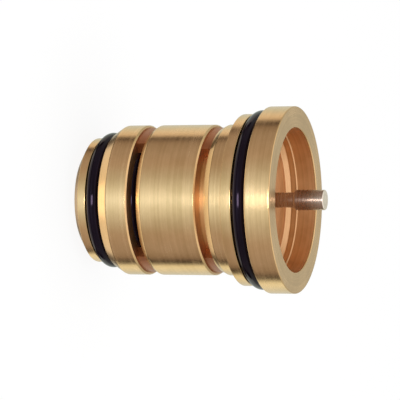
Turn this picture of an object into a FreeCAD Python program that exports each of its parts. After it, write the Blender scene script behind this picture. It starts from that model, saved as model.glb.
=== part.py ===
import FreeCAD
import Part

import math
import os

# A turned brass cartridge for a thermostatic mixing valve. All lengths are in millimetres.
# +Z runs along the axis from the back end, where mixed water leaves, to the flange and the pin.
# The windows of the two ports face -Y and +Y. The cold port is the one next to the flange.

# Lengths of the sleeve along the axis, from the back end up
REAR_COLLAR_LENGTH = 3.1
REAR_COLLAR_BEVEL_LENGTH = 1.5
REAR_GROOVE_WIDTH = 3.2
REAR_LAND_LENGTH = 6.35
REAR_LAND_BEVEL_LENGTH = 2.0
HOT_PORT_WIDTH = 1.85
MIDDLE_LAND_LENGTH = 12.24
MIDDLE_LAND_BEVEL_LENGTH = 0.96
COLD_PORT_WIDTH = 1.76
FRONT_LAND_LENGTH = 4.1
FRONT_LAND_BEVEL_LENGTH = 1.15
SHOULDER_LENGTH = 2.13
FRONT_GROOVE_WIDTH = 3.11
FLANGE_LENGTH = 5.16

# The radius of the lands, and the steps down or up from it to the rest of the outside
LAND_R = 15.0
PORT_DEPTH = 0.6
REAR_COLLAR_DROP = 2.5
REAR_COLLAR_BEVEL_DEPTH = 2.3
REAR_LAND_BEVEL_DEPTH = 1.3
SHOULDER_STEP = 2.05
FLANGE_STEP = 1.45
FLANGE_BACK_BEVEL = 0.3
FLANGE_FRONT_BEVEL = 0.25
EDGE_BREAK = 0.12
LAND_RIM_BEVEL = 0.3
LEAD_ROUND = 0.6

# The round recess in the flange, with a small step in its wall and a bevel at its floor
FLANGE_RIM_WIDTH = 4.2
RECESS_STEP_DEPTH = 3.94
RECESS_STEP = 0.18
RECESS_DEPTH = 6.15
RECESS_BEVEL = 0.85

# The bore of the sleeve and the windows through the port grooves
PORT_WALL = 2.4
BORE_MOUTH_BEVEL = 0.2
HOT_WINDOW_HALF_ANGLE = 51.0
COLD_WINDOW_HALF_ANGLE = 48.0
COLD_WINDOW_TURN = 4.0
OUTLET_WALL = 3.0
OUTLET_LEDGE = 1.4
OUTLET_BEVEL = 0.3

# O-rings on the outside: how far each stands out of its groove, and its section
REAR_RING_PROUD = 1.1
REAR_RING_SECTION = 2.6
FRONT_RING_PROUD = 0.75
FRONT_RING_SECTION = 2.65

# The two rubber seats of the slide. Each lies between the bore and a thin lip.
SEAT_SECTION = 1.8
SEAT_SIDE_CLEARANCE = 0.02
SEAT_LIP_WALL = 0.58
SEAT_LIP_HEIGHT = 1.0
SEAT_GAP = 0.05
HOT_SEAT_DROP = 1.1

# The slide: its travel, how far it covers past the cold port, and its walls
SLIDE_TRAVEL = 1.4
SLIDE_COVER = 0.26
SLIDE_CLEARANCE = 0.03
SLIDE_RIM_BEVEL = 0.25
SLIDE_SKIRT_WALL = 1.57
SLIDE_SKIRT_DEPTH = 3.0
SLIDE_WEB = 2.0
SLIDE_GROOVE_WALL = 0.86
SLIDE_GROOVE_OFFSET = 1.0
SLIDE_GROOVE_WIDTH = 2.1
SLIDE_RING_SECTION = 1.7
WEB_HOLE_COUNT = 8
WEB_HOLE_MARGIN = 0.165

# The circlip in the slide, and the star-shaped carrier under it
CLIP_INSET = 1.1
CLIP_THICKNESS = 0.8
CLIP_DEPTH = 0.65
CLIP_WIDTH = 1.35
CLIP_GROOVE_CLEARANCE = 0.04
CLIP_GAP_ANGLE = 34.0
CARRIER_THICKNESS = 1.6
CARRIER_CLEARANCE = 0.05
CARRIER_SCALLOP_COUNT = 6
CARRIER_SCALLOP_R = 2.0

# The wax element, and how far it can travel on when the slide is on its seat
OVERTRAVEL = 2.0
ELEMENT_END_CLEARANCE = 2.0
CUP_STEP = 1.4
CUP_WALL = 0.55
CUP_CORNER_R = 1.2
CUP_CLEARANCE = 0.1
COLLAR_SHARE = 0.55
COLLAR_WALL = 0.75
COLLAR_SHOULDER = 0.6
COLLAR_LIP = 0.4
COLLAR_LIP_WIDTH = 1.25
COLLAR_CORNER_R = 0.4
DIAPHRAGM_THICKNESS = 0.8
GUIDE_FLANGE = 1.2
GUIDE_STEM_SHARE = 0.325
GUIDE_NOSE_STEP = 1.0
GUIDE_TOP_GAP = 0.6
GUIDE_TIP_BEVEL = 0.3
RUBBER_PLUG_LENGTH = 2.4
DISC_THICKNESS = 0.5

# The steel pin
PIN_NECK_R = 1.5
PIN_HEAD_R = 2.0
PIN_HEAD_LENGTH = 6.2
PIN_REACH = 5.9
PIN_SHOULDER = 0.45
PIN_TIP_BEVEL = 0.2
PIN_CLEARANCE = 0.04

# The front plug: the nose that reaches into the bore, its O-ring and the pocket of the pin seal
PLUG_DISC = 2.85
PLUG_NOSE_LENGTH = 2.7
PLUG_THREAD_CLEARANCE = 0.05
PLUG_RING_SECTION = 1.0
PLUG_RING_OFFSET = 0.9
PLUG_GROOVE_WIDTH = 1.2
PIN_HOLE_LIP = 0.85
PIN_SEAL_SECTION = 1.55
PIN_BUSH_LENGTH = 1.5
BOSS_WALL = 1.4
SPANNER_HOLE_R = 1.25
SPANNER_HOLE_DEPTH = 1.6
SPANNER_HOLE_MARGIN = 2.5

# The coil springs
RETURN_WIRE = 1.1
RETURN_TURNS = 5.5
RETURN_CLEARANCE = 0.25
OVERLOAD_WIRE = 1.1
OVERLOAD_TURNS = 2.75
OVERLOAD_CLEARANCE = 0.1
CLOSED_TURNS = 0.75
CLOSED_PITCH = 1.05
FACETS_PER_TURN = 24
WIRE_SIDES = 10

# Places along the outside of the sleeve
Z_REAR_GROOVE = REAR_COLLAR_LENGTH
Z_REAR_LAND = Z_REAR_GROOVE + REAR_GROOVE_WIDTH
Z_HOT_PORT = Z_REAR_LAND + REAR_LAND_LENGTH
Z_MIDDLE_LAND = Z_HOT_PORT + HOT_PORT_WIDTH
Z_COLD_PORT = Z_MIDDLE_LAND + MIDDLE_LAND_LENGTH
Z_FRONT_LAND = Z_COLD_PORT + COLD_PORT_WIDTH
Z_SHOULDER = Z_FRONT_LAND + FRONT_LAND_LENGTH
Z_FRONT_GROOVE = Z_SHOULDER + SHOULDER_LENGTH
Z_FLANGE = Z_FRONT_GROOVE + FRONT_GROOVE_WIDTH
Z_FACE = Z_FLANGE + FLANGE_LENGTH
Z_FLOOR = Z_FACE - RECESS_DEPTH

# Places inside, from the rear seat up to the plug
Z_HOT_SEAT = Z_HOT_PORT - HOT_SEAT_DROP
Z_SLIDE_BOTTOM = Z_HOT_SEAT + SEAT_SECTION + SEAT_GAP + SLIDE_TRAVEL
Z_SLIDE_TOP = Z_FRONT_LAND + SLIDE_COVER
Z_WEB_BOTTOM = Z_SLIDE_BOTTOM + SLIDE_SKIRT_DEPTH
Z_WEB_TOP = Z_WEB_BOTTOM + SLIDE_WEB
Z_SLIDE_GROOVE = Z_WEB_TOP + SLIDE_GROOVE_OFFSET
Z_CLIP_TOP = Z_SLIDE_TOP - CLIP_INSET
Z_CARRIER_TOP = Z_CLIP_TOP - CLIP_THICKNESS
Z_COLLAR_TOP = Z_CARRIER_TOP - CARRIER_THICKNESS
Z_NOSE_END = Z_SLIDE_TOP + SEAT_GAP + SEAT_SECTION
Z_PLUG_SHOULDER = Z_NOSE_END + PLUG_NOSE_LENGTH
Z_PLUG_CEILING = Z_FLOOR - PLUG_DISC
Z_SEAL_TOP = Z_FLOOR - PIN_HOLE_LIP
Z_BUSH_TOP = Z_SEAL_TOP - PIN_SEAL_SECTION
Z_BUSH_END = Z_BUSH_TOP - PIN_BUSH_LENGTH

# Places in the wax element and on the pin
Z_GUIDE_FLANGE_TOP = Z_COLLAR_TOP - COLLAR_LIP
Z_DIAPHRAGM_TOP = Z_GUIDE_FLANGE_TOP - GUIDE_FLANGE
Z_DIAPHRAGM_BOTTOM = Z_DIAPHRAGM_TOP - DIAPHRAGM_THICKNESS
Z_COLLAR_BOTTOM = Z_DIAPHRAGM_BOTTOM - COLLAR_SHOULDER
Z_CUP_BOTTOM = SLIDE_TRAVEL + OVERTRAVEL + ELEMENT_END_CLEARANCE
Z_GUIDE_TOP = Z_BUSH_END - GUIDE_TOP_GAP
Z_DISC_BOTTOM = Z_DIAPHRAGM_TOP + RUBBER_PLUG_LENGTH
Z_PIN_BOTTOM = Z_DISC_BOTTOM + DISC_THICKNESS
Z_PIN_TIP = Z_FACE + PIN_REACH
Z_PIN_HEAD = Z_PIN_TIP - PIN_HEAD_LENGTH

# Radii that follow from the ones above
PORT_FLOOR_R = LAND_R - PORT_DEPTH
BORE_R = PORT_FLOOR_R - PORT_WALL
REAR_COLLAR_R = LAND_R - REAR_COLLAR_DROP
REAR_LAND_FOOT_R = LAND_R - REAR_LAND_BEVEL_DEPTH
SHOULDER_R = LAND_R + SHOULDER_STEP
FLANGE_R = SHOULDER_R + FLANGE_STEP
RECESS_R = FLANGE_R - FLANGE_RIM_WIDTH
REAR_RING_OUTER_R = REAR_COLLAR_R + REAR_RING_PROUD
FRONT_RING_OUTER_R = SHOULDER_R + FRONT_RING_PROUD
REAR_FLOOR_R = REAR_RING_OUTER_R - REAR_RING_SECTION
FRONT_FLOOR_R = FRONT_RING_OUTER_R - FRONT_RING_SECTION
RECESS_INNER_R = RECESS_R - RECESS_STEP
THREAD_R = RECESS_INNER_R - RECESS_BEVEL
SEAT_MID_R = BORE_R - SEAT_SIDE_CLEARANCE - SEAT_SECTION / 2
LIP_R = SEAT_MID_R - SEAT_SECTION / 2 - SEAT_SIDE_CLEARANCE
MIXING_R = LIP_R - SEAT_LIP_WALL
OUTLET_R = MIXING_R - OUTLET_LEDGE
SLIDE_R = BORE_R - SLIDE_CLEARANCE
SKIRT_INNER_R = SLIDE_R - SLIDE_SKIRT_WALL
SLIDE_FLOOR_R = SLIDE_R - SLIDE_RING_SECTION
SLIDE_INNER_R = SLIDE_FLOOR_R - SLIDE_GROOVE_WALL
COLLAR_R = BORE_R * COLLAR_SHARE
CUP_R = COLLAR_R - CUP_STEP
CUP_HOLE_R = CUP_R + CUP_CLEARANCE
GUIDE_STEM_R = BORE_R * GUIDE_STEM_SHARE
GUIDE_NOSE_R = GUIDE_STEM_R - GUIDE_NOSE_STEP
CLIP_R = SLIDE_INNER_R + CLIP_DEPTH
CLIP_INNER_R = CLIP_R - CLIP_WIDTH
CARRIER_R = SLIDE_INNER_R - CARRIER_CLEARANCE
COLLAR_BORE_R = COLLAR_R - COLLAR_WALL
GUIDE_BORE_R = PIN_NECK_R + PIN_CLEARANCE
NOSE_R = BORE_R - SLIDE_CLEARANCE
NOSE_FLOOR_R = BORE_R - PLUG_RING_SECTION
POCKET_R = PIN_NECK_R + PIN_CLEARANCE + PIN_SEAL_SECTION
BOSS_R = POCKET_R + BOSS_WALL
RETURN_MID_R = MIXING_R - RETURN_CLEARANCE - RETURN_WIRE / 2
OVERLOAD_MID_R = SLIDE_INNER_R - OVERLOAD_CLEARANCE - OVERLOAD_WIRE / 2

UP = FreeCAD.Vector(0, 0, 1)
ORIGIN = FreeCAD.Vector(0, 0, 0)


def corner_edges(before, corner, after, finish, size):
    """Points where the finish of one profile corner starts and ends, and the edge between them."""
    to_before = (before - corner).normalize()
    to_after = (after - corner).normalize()
    if finish == "bevel":
        start = corner + to_before * size
        end = corner + to_after * size
        return start, end, Part.LineSegment(start, end).toShape()
    half = to_before.getAngle(to_after) / 2
    start = corner + to_before * (size / math.tan(half))
    end = corner + to_after * (size / math.tan(half))
    inward = (to_before + to_after).normalize()
    middle = corner + inward * (size / math.sin(half) - size)
    return start, end, Part.Arc(start, middle, end).toShape()


def profile(*corners):
    """Face in the XZ plane. A corner is (radius, height), or that with a finish and its size."""
    points = [FreeCAD.Vector(corner[0], 0, corner[1]) for corner in corners]
    count = len(points)
    starts = []
    ends = []
    finishes = []
    for index, corner in enumerate(corners):
        start = points[index]
        end = points[index]
        edge = None
        if len(corner) == 4:
            before = points[index - 1]
            after = points[(index + 1) % count]
            start, end, edge = corner_edges(before, points[index], after, corner[2], corner[3])
        starts.append(start)
        ends.append(end)
        finishes.append(edge)
    edges = []
    for index in range(count):
        if finishes[index] is not None:
            edges.append(finishes[index])
        edges.append(Part.LineSegment(ends[index], starts[(index + 1) % count]).toShape())
    return Part.Face(Part.Wire(edges))


def turned(*corners):
    """Solid turned about Z from the corners of its section."""
    return profile(*corners).revolve(ORIGIN, UP, 360)


def ring_sector(inner, outer, bottom, top, half_angle, middle_angle):
    """Part of a flat ring, on both sides of the middle angle."""
    section = profile((inner, bottom), (outer, bottom), (outer, top), (inner, top))
    sector = section.revolve(ORIGIN, UP, 2 * half_angle)
    sector.rotate(ORIGIN, UP, middle_angle - half_angle)
    return sector


def o_ring(mid_r, section, height):
    """Rubber ring of round section, lying flat with its middle at the given height."""
    return Part.makeTorus(mid_r, section / 2, FreeCAD.Vector(0, 0, height), UP)


def drilled(solid, hole_r, circle_r, count, bottom, top, first_angle=0.0):
    """The solid with a circle of through holes between two heights."""
    for index in range(count):
        angle = math.radians(first_angle) + 2 * math.pi * index / count
        foot = FreeCAD.Vector(circle_r * math.cos(angle), circle_r * math.sin(angle), bottom)
        solid = solid.cut(Part.makeCylinder(hole_r, top - bottom, foot, UP))
    return solid


def flat_face(points):
    """Flat face with the given corners."""
    return Part.Face(Part.makePolygon(points + [points[0]]))


def coil_spring(mid_r, wire, bottom, top, turns):
    """Compression spring with closed ends ground flat. The wire is a chain of flat facets."""
    start = bottom + wire / 4
    closed_rise = wire * CLOSED_PITCH * CLOSED_TURNS
    open_rise = top - bottom - wire / 2 - 2 * closed_rise
    places = [0, CLOSED_TURNS, turns - CLOSED_TURNS, turns]
    heights = [start, start + closed_rise, start + closed_rise + open_rise, top - wire / 4]
    count = round(turns * FACETS_PER_TURN)
    rings = []
    for index in range(count + 1):
        turn = turns * index / count
        span = 0 if turn <= places[1] else 1 if turn <= places[2] else 2
        share = (turn - places[span]) / (places[span + 1] - places[span])
        height = heights[span] + share * (heights[span + 1] - heights[span])
        angle = 2 * math.pi * turn
        ring = []
        for side in range(WIRE_SIDES):
            around = 2 * math.pi * side / WIRE_SIDES
            radius = mid_r + wire / 2 * math.cos(around)
            z = min(max(height + wire / 2 * math.sin(around), bottom), top)
            ring.append(FreeCAD.Vector(radius * math.cos(angle), radius * math.sin(angle), z))
        rings.append(ring)
    faces = [flat_face(rings[0]), flat_face(rings[-1])]
    for lower, upper in zip(rings, rings[1:]):
        for side in range(WIRE_SIDES):
            after = (side + 1) % WIRE_SIDES
            faces.append(flat_face([lower[side], lower[after], upper[after]]))
            faces.append(flat_face([lower[side], upper[after], upper[side]]))
    return Part.Solid(Part.Shell(faces))


def window(bottom, top, half_angle, middle_angle):
    """Cutter for one window, from inside the bore to outside the port's floor."""
    return ring_sector(BORE_R - PORT_DEPTH, LAND_R, bottom, top, half_angle, middle_angle)


def sleeve():
    """The turned housing: collar, lands, port grooves with their windows, flange and bores."""
    body = turned(
        (OUTLET_R, 0, "bevel", OUTLET_BEVEL),
        (REAR_COLLAR_R - REAR_COLLAR_BEVEL_DEPTH, 0),
        (REAR_COLLAR_R, REAR_COLLAR_BEVEL_LENGTH),
        (REAR_COLLAR_R, Z_REAR_GROOVE, "bevel", EDGE_BREAK),
        (REAR_FLOOR_R, Z_REAR_GROOVE),
        (REAR_FLOOR_R, Z_REAR_LAND),
        (REAR_LAND_FOOT_R, Z_REAR_LAND, "bevel", EDGE_BREAK),
        (LAND_R, Z_REAR_LAND + REAR_LAND_BEVEL_LENGTH, "round", LEAD_ROUND),
        (LAND_R, Z_HOT_PORT, "bevel", LAND_RIM_BEVEL),
        (PORT_FLOOR_R, Z_HOT_PORT),
        (PORT_FLOOR_R, Z_MIDDLE_LAND),
        (LAND_R, Z_MIDDLE_LAND + MIDDLE_LAND_BEVEL_LENGTH, "round", LEAD_ROUND),
        (LAND_R, Z_COLD_PORT, "bevel", LAND_RIM_BEVEL),
        (PORT_FLOOR_R, Z_COLD_PORT),
        (PORT_FLOOR_R, Z_FRONT_LAND),
        (LAND_R, Z_FRONT_LAND + FRONT_LAND_BEVEL_LENGTH, "round", LEAD_ROUND),
        (LAND_R, Z_SHOULDER),
        (SHOULDER_R, Z_SHOULDER, "bevel", EDGE_BREAK),
        (SHOULDER_R, Z_FRONT_GROOVE, "bevel", EDGE_BREAK),
        (FRONT_FLOOR_R, Z_FRONT_GROOVE),
        (FRONT_FLOOR_R, Z_FLANGE),
        (FLANGE_R, Z_FLANGE, "bevel", FLANGE_BACK_BEVEL),
        (FLANGE_R, Z_FACE, "bevel", FLANGE_FRONT_BEVEL),
        (RECESS_R, Z_FACE, "bevel", FLANGE_FRONT_BEVEL),
        (RECESS_R, Z_FACE - RECESS_STEP_DEPTH),
        (RECESS_INNER_R, Z_FACE - RECESS_STEP_DEPTH - RECESS_STEP),
        (RECESS_INNER_R, Z_FLOOR + RECESS_BEVEL),
        (THREAD_R, Z_FLOOR),
        (THREAD_R, Z_PLUG_SHOULDER),
        (BORE_R, Z_PLUG_SHOULDER, "bevel", BORE_MOUTH_BEVEL),
        (BORE_R, Z_HOT_SEAT),
        (LIP_R, Z_HOT_SEAT),
        (LIP_R, Z_HOT_SEAT + SEAT_LIP_HEIGHT),
        (MIXING_R, Z_HOT_SEAT + SEAT_LIP_HEIGHT),
        (MIXING_R, OUTLET_WALL),
        (OUTLET_R, OUTLET_WALL),
    )
    for side in (-90, 90):
        body = body.cut(window(Z_HOT_PORT, Z_MIDDLE_LAND, HOT_WINDOW_HALF_ANGLE, side))
        middle = side + COLD_WINDOW_TURN
        body = body.cut(window(Z_COLD_PORT, Z_FRONT_LAND, COLD_WINDOW_HALF_ANGLE, middle))
    return body


def front_plug():
    """Screwed plug: the recess's floor, a nose with the cold seat, and the pin seal's pocket."""
    outer = THREAD_R - PLUG_THREAD_CLEARANCE
    groove = Z_NOSE_END + PLUG_RING_OFFSET - (PLUG_GROOVE_WIDTH - PLUG_RING_SECTION) / 2
    body = turned(
        (GUIDE_BORE_R, Z_FLOOR, "bevel", EDGE_BREAK),
        (outer, Z_FLOOR, "bevel", EDGE_BREAK),
        (outer, Z_PLUG_SHOULDER),
        (NOSE_R, Z_PLUG_SHOULDER),
        (NOSE_R, groove + PLUG_GROOVE_WIDTH),
        (NOSE_FLOOR_R, groove + PLUG_GROOVE_WIDTH),
        (NOSE_FLOOR_R, groove),
        (NOSE_R, groove),
        (NOSE_R, Z_NOSE_END),
        (LIP_R, Z_NOSE_END),
        (LIP_R, Z_NOSE_END - SEAT_LIP_HEIGHT),
        (MIXING_R, Z_NOSE_END - SEAT_LIP_HEIGHT),
        (MIXING_R, Z_PLUG_CEILING),
        (BOSS_R, Z_PLUG_CEILING),
        (BOSS_R, Z_BUSH_END),
        (POCKET_R, Z_BUSH_END),
        (POCKET_R, Z_SEAL_TOP),
        (GUIDE_BORE_R, Z_SEAL_TOP),
    )
    circle = outer - SPANNER_HOLE_MARGIN - SPANNER_HOLE_R
    return drilled(body, SPANNER_HOLE_R, circle, 2, Z_FLOOR - SPANNER_HOLE_DEPTH, Z_FLOOR)


def regulating_slide():
    """Brass slide: sealing rims at both ends, an O-ring groove, and a web with flow holes."""
    body = turned(
        (SKIRT_INNER_R, Z_SLIDE_BOTTOM, "bevel", EDGE_BREAK),
        (SLIDE_R, Z_SLIDE_BOTTOM, "bevel", SLIDE_RIM_BEVEL),
        (SLIDE_R, Z_SLIDE_GROOVE),
        (SLIDE_FLOOR_R, Z_SLIDE_GROOVE),
        (SLIDE_FLOOR_R, Z_SLIDE_GROOVE + SLIDE_GROOVE_WIDTH),
        (SLIDE_R, Z_SLIDE_GROOVE + SLIDE_GROOVE_WIDTH),
        (SLIDE_R, Z_SLIDE_TOP, "bevel", SLIDE_RIM_BEVEL),
        (SLIDE_INNER_R, Z_SLIDE_TOP, "bevel", EDGE_BREAK),
        (SLIDE_INNER_R, Z_CLIP_TOP + CLIP_GROOVE_CLEARANCE),
        (CLIP_R + CLIP_GROOVE_CLEARANCE, Z_CLIP_TOP + CLIP_GROOVE_CLEARANCE),
        (CLIP_R + CLIP_GROOVE_CLEARANCE, Z_CARRIER_TOP),
        (SLIDE_INNER_R, Z_CARRIER_TOP),
        (SLIDE_INNER_R, Z_WEB_TOP),
        (CUP_HOLE_R, Z_WEB_TOP, "bevel", EDGE_BREAK),
        (CUP_HOLE_R, Z_WEB_BOTTOM, "bevel", EDGE_BREAK),
        (SKIRT_INNER_R, Z_WEB_BOTTOM),
    )
    spring_inner_r = RETURN_MID_R - RETURN_WIRE / 2
    circle = (CUP_HOLE_R + spring_inner_r) / 2
    hole_r = (spring_inner_r - CUP_HOLE_R) / 2 - WEB_HOLE_MARGIN
    return drilled(body, hole_r, circle, WEB_HOLE_COUNT, Z_WEB_BOTTOM, Z_WEB_TOP)


def carrier_retaining_ring():
    """Internal circlip with a gap between its ends."""
    return ring_sector(CLIP_INNER_R, CLIP_R, Z_CARRIER_TOP, Z_CLIP_TOP,
                       180 - CLIP_GAP_ANGLE / 2, 180)


def element_carrier():
    """Star-shaped plate: its points bear on the overload spring, water passes between them."""
    plate = turned(
        (GUIDE_STEM_R, Z_COLLAR_TOP),
        (CARRIER_R, Z_COLLAR_TOP, "bevel", EDGE_BREAK),
        (CARRIER_R, Z_CARRIER_TOP, "bevel", EDGE_BREAK),
        (GUIDE_STEM_R, Z_CARRIER_TOP, "bevel", EDGE_BREAK),
    )
    circle = COLLAR_R + EDGE_BREAK + CARRIER_SCALLOP_R
    return drilled(plate, CARRIER_SCALLOP_R, circle, CARRIER_SCALLOP_COUNT,
                   Z_COLLAR_TOP, Z_CARRIER_TOP)


def element_cup():
    """Drawn cup of the wax element, with the collar that is crimped over the guide."""
    return turned(
        (0, Z_CUP_BOTTOM),
        (CUP_R, Z_CUP_BOTTOM, "round", CUP_CORNER_R),
        (CUP_R, Z_COLLAR_BOTTOM),
        (COLLAR_R, Z_COLLAR_BOTTOM, "round", COLLAR_CORNER_R),
        (COLLAR_R, Z_COLLAR_TOP, "round", COLLAR_CORNER_R),
        (COLLAR_BORE_R - COLLAR_LIP_WIDTH, Z_COLLAR_TOP),
        (COLLAR_BORE_R - COLLAR_LIP_WIDTH, Z_GUIDE_FLANGE_TOP),
        (COLLAR_BORE_R, Z_GUIDE_FLANGE_TOP),
        (COLLAR_BORE_R, Z_DIAPHRAGM_BOTTOM),
        (CUP_R - CUP_WALL, Z_DIAPHRAGM_BOTTOM),
        (CUP_R - CUP_WALL, Z_CUP_BOTTOM + CUP_WALL, "round", CUP_CORNER_R - CUP_WALL),
        (0, Z_CUP_BOTTOM + CUP_WALL),
    )


def wax_charge():
    """The wax, which fills the cup up to the diaphragm."""
    return turned(
        (0, Z_CUP_BOTTOM + CUP_WALL),
        (CUP_R - CUP_WALL, Z_CUP_BOTTOM + CUP_WALL, "round", CUP_CORNER_R - CUP_WALL),
        (CUP_R - CUP_WALL, Z_DIAPHRAGM_BOTTOM),
        (0, Z_DIAPHRAGM_BOTTOM),
    )


def element_diaphragm():
    """Rubber disc clamped between the cup's shoulder and the guide."""
    return Part.makeCylinder(COLLAR_BORE_R, DIAPHRAGM_THICKNESS,
                             FreeCAD.Vector(0, 0, Z_DIAPHRAGM_BOTTOM), UP)


def element_guide():
    """Brass guide: flange in the crimped collar, stem in the carrier, bore for the pin."""
    return turned(
        (GUIDE_BORE_R, Z_DIAPHRAGM_TOP),
        (COLLAR_BORE_R, Z_DIAPHRAGM_TOP),
        (COLLAR_BORE_R, Z_GUIDE_FLANGE_TOP),
        (GUIDE_STEM_R, Z_GUIDE_FLANGE_TOP),
        (GUIDE_STEM_R, Z_CARRIER_TOP, "bevel", EDGE_BREAK),
        (GUIDE_NOSE_R, Z_CARRIER_TOP),
        (GUIDE_NOSE_R, Z_GUIDE_TOP, "bevel", GUIDE_TIP_BEVEL),
        (GUIDE_BORE_R, Z_GUIDE_TOP, "bevel", EDGE_BREAK),
    )


def push_pin():
    """Steel pin: the neck runs in the guide and the bush, the head stands in the recess."""
    return turned(
        (0, Z_PIN_BOTTOM),
        (PIN_NECK_R, Z_PIN_BOTTOM, "bevel", EDGE_BREAK),
        (PIN_NECK_R, Z_PIN_HEAD),
        (PIN_HEAD_R, Z_PIN_HEAD, "round", PIN_SHOULDER),
        (PIN_HEAD_R, Z_PIN_TIP, "bevel", PIN_TIP_BEVEL),
        (0, Z_PIN_TIP),
    )


def pin_bush():
    """Bush under the pin seal, pressed into the plug's boss."""
    return turned(
        (GUIDE_BORE_R, Z_BUSH_END, "bevel", EDGE_BREAK),
        (POCKET_R, Z_BUSH_END, "bevel", EDGE_BREAK),
        (POCKET_R, Z_BUSH_TOP),
        (GUIDE_BORE_R, Z_BUSH_TOP),
    )


def pieces():
    """Every piece of the cartridge by its name."""
    rear_mid = REAR_RING_OUTER_R - REAR_RING_SECTION / 2
    front_mid = FRONT_RING_OUTER_R - FRONT_RING_SECTION / 2
    slide_ring_mid = BORE_R - SLIDE_CLEARANCE - SLIDE_RING_SECTION / 2
    plug_ring_mid = BORE_R - PLUG_RING_SECTION / 2
    pin_seal_mid = PIN_NECK_R + PIN_CLEARANCE + PIN_SEAL_SECTION / 2
    return {
        "sleeve": sleeve(),
        "rear_o_ring": o_ring(rear_mid, REAR_RING_SECTION, Z_REAR_GROOVE + REAR_GROOVE_WIDTH / 2),
        "front_o_ring": o_ring(front_mid, FRONT_RING_SECTION,
                               Z_FRONT_GROOVE + FRONT_GROOVE_WIDTH / 2),
        "front_plug": front_plug(),
        "plug_o_ring": o_ring(plug_ring_mid, PLUG_RING_SECTION,
                              Z_NOSE_END + PLUG_RING_OFFSET + PLUG_RING_SECTION / 2),
        "hot_seat_seal": o_ring(SEAT_MID_R, SEAT_SECTION, Z_HOT_SEAT + SEAT_SECTION / 2),
        "cold_seat_seal": o_ring(SEAT_MID_R, SEAT_SECTION, Z_NOSE_END - SEAT_SECTION / 2),
        "regulating_slide": regulating_slide(),
        "slide_o_ring": o_ring(slide_ring_mid, SLIDE_RING_SECTION,
                               Z_SLIDE_GROOVE + SLIDE_GROOVE_WIDTH / 2),
        "return_spring": coil_spring(RETURN_MID_R, RETURN_WIRE, OUTLET_WALL, Z_WEB_BOTTOM,
                                     RETURN_TURNS),
        "overload_spring": coil_spring(OVERLOAD_MID_R, OVERLOAD_WIRE, Z_WEB_TOP, Z_COLLAR_TOP,
                                       OVERLOAD_TURNS),
        "carrier_retaining_ring": carrier_retaining_ring(),
        "element_carrier": element_carrier(),
        "element_cup": element_cup(),
        "wax_charge": wax_charge(),
        "element_diaphragm": element_diaphragm(),
        "element_guide": element_guide(),
        "pressure_plug": Part.makeCylinder(PIN_NECK_R, RUBBER_PLUG_LENGTH,
                                           FreeCAD.Vector(0, 0, Z_DIAPHRAGM_TOP), UP),
        "anti_extrusion_disc": Part.makeCylinder(PIN_NECK_R, DISC_THICKNESS,
                                                 FreeCAD.Vector(0, 0, Z_DISC_BOTTOM), UP),
        "push_pin": push_pin(),
        "pin_seal": o_ring(pin_seal_mid, PIN_SEAL_SECTION, Z_SEAL_TOP - PIN_SEAL_SECTION / 2),
        "pin_bush": pin_bush(),
    }


os.makedirs("parts", exist_ok=True)
for name, solid in pieces().items():
    solid.exportStep("parts/" + name + ".step")
    print(name, "solids", len(solid.Solids), "volume", round(solid.Volume, 2),
          "valid", solid.isValid())
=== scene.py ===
# %% [markdown]
# A thermostatic cartridge stands on its back end. It is a brass sleeve with lands, port
# grooves and O-rings, and a steel pin in the round recess of its flange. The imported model
# gives every piece its true place. Each visible piece is drawn again in fine meshes, so that
# the turned edges catch the light as metal does.

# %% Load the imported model
import math

import bmesh
import bpy
from mathutils import Matrix, Vector


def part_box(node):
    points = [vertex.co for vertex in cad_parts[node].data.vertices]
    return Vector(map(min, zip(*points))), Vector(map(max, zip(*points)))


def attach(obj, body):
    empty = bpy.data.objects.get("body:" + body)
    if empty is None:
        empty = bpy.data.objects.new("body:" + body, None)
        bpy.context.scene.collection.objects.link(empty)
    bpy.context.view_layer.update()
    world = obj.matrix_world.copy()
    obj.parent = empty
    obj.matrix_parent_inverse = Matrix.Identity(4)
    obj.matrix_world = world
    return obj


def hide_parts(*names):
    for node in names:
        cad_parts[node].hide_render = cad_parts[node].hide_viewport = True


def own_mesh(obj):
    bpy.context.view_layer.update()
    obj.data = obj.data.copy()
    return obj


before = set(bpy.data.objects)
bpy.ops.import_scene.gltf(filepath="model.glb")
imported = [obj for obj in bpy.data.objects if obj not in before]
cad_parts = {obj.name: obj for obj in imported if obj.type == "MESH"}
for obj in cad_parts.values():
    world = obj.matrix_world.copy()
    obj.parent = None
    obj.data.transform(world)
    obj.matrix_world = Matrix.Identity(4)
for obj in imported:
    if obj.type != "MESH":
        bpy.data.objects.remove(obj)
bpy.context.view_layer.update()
MM = 0.001
print("nodes in the frame:", len(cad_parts))

# %% [markdown]
# Two helpers serve every material and every node tree. Colours are picked on a screen, which shows
# sRGB, but Blender counts light, so a hex value is turned to linear first. One small function adds
# a node with its settings and its links, and keeps the trees short.

# %% Colour and node helpers
MATH = "ShaderNodeMath"
SRGB_KNEE = 0.04045
SRGB_SLOPE = 12.92
SRGB_OFFSET = 0.055
SRGB_POWER = 2.4
CHANNEL_MAX = 255


def paint(hex_value):
    """Linear red, green, blue and alpha of an sRGB hex value such as "c9a46c"."""
    channels = []
    for value in bytes.fromhex(hex_value):
        value = value / CHANNEL_MAX
        if value <= SRGB_KNEE:
            channels.append(value / SRGB_SLOPE)
        else:
            channels.append(((value + SRGB_OFFSET) / (1 + SRGB_OFFSET)) ** SRGB_POWER)
    return (*channels, 1.0)


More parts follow.
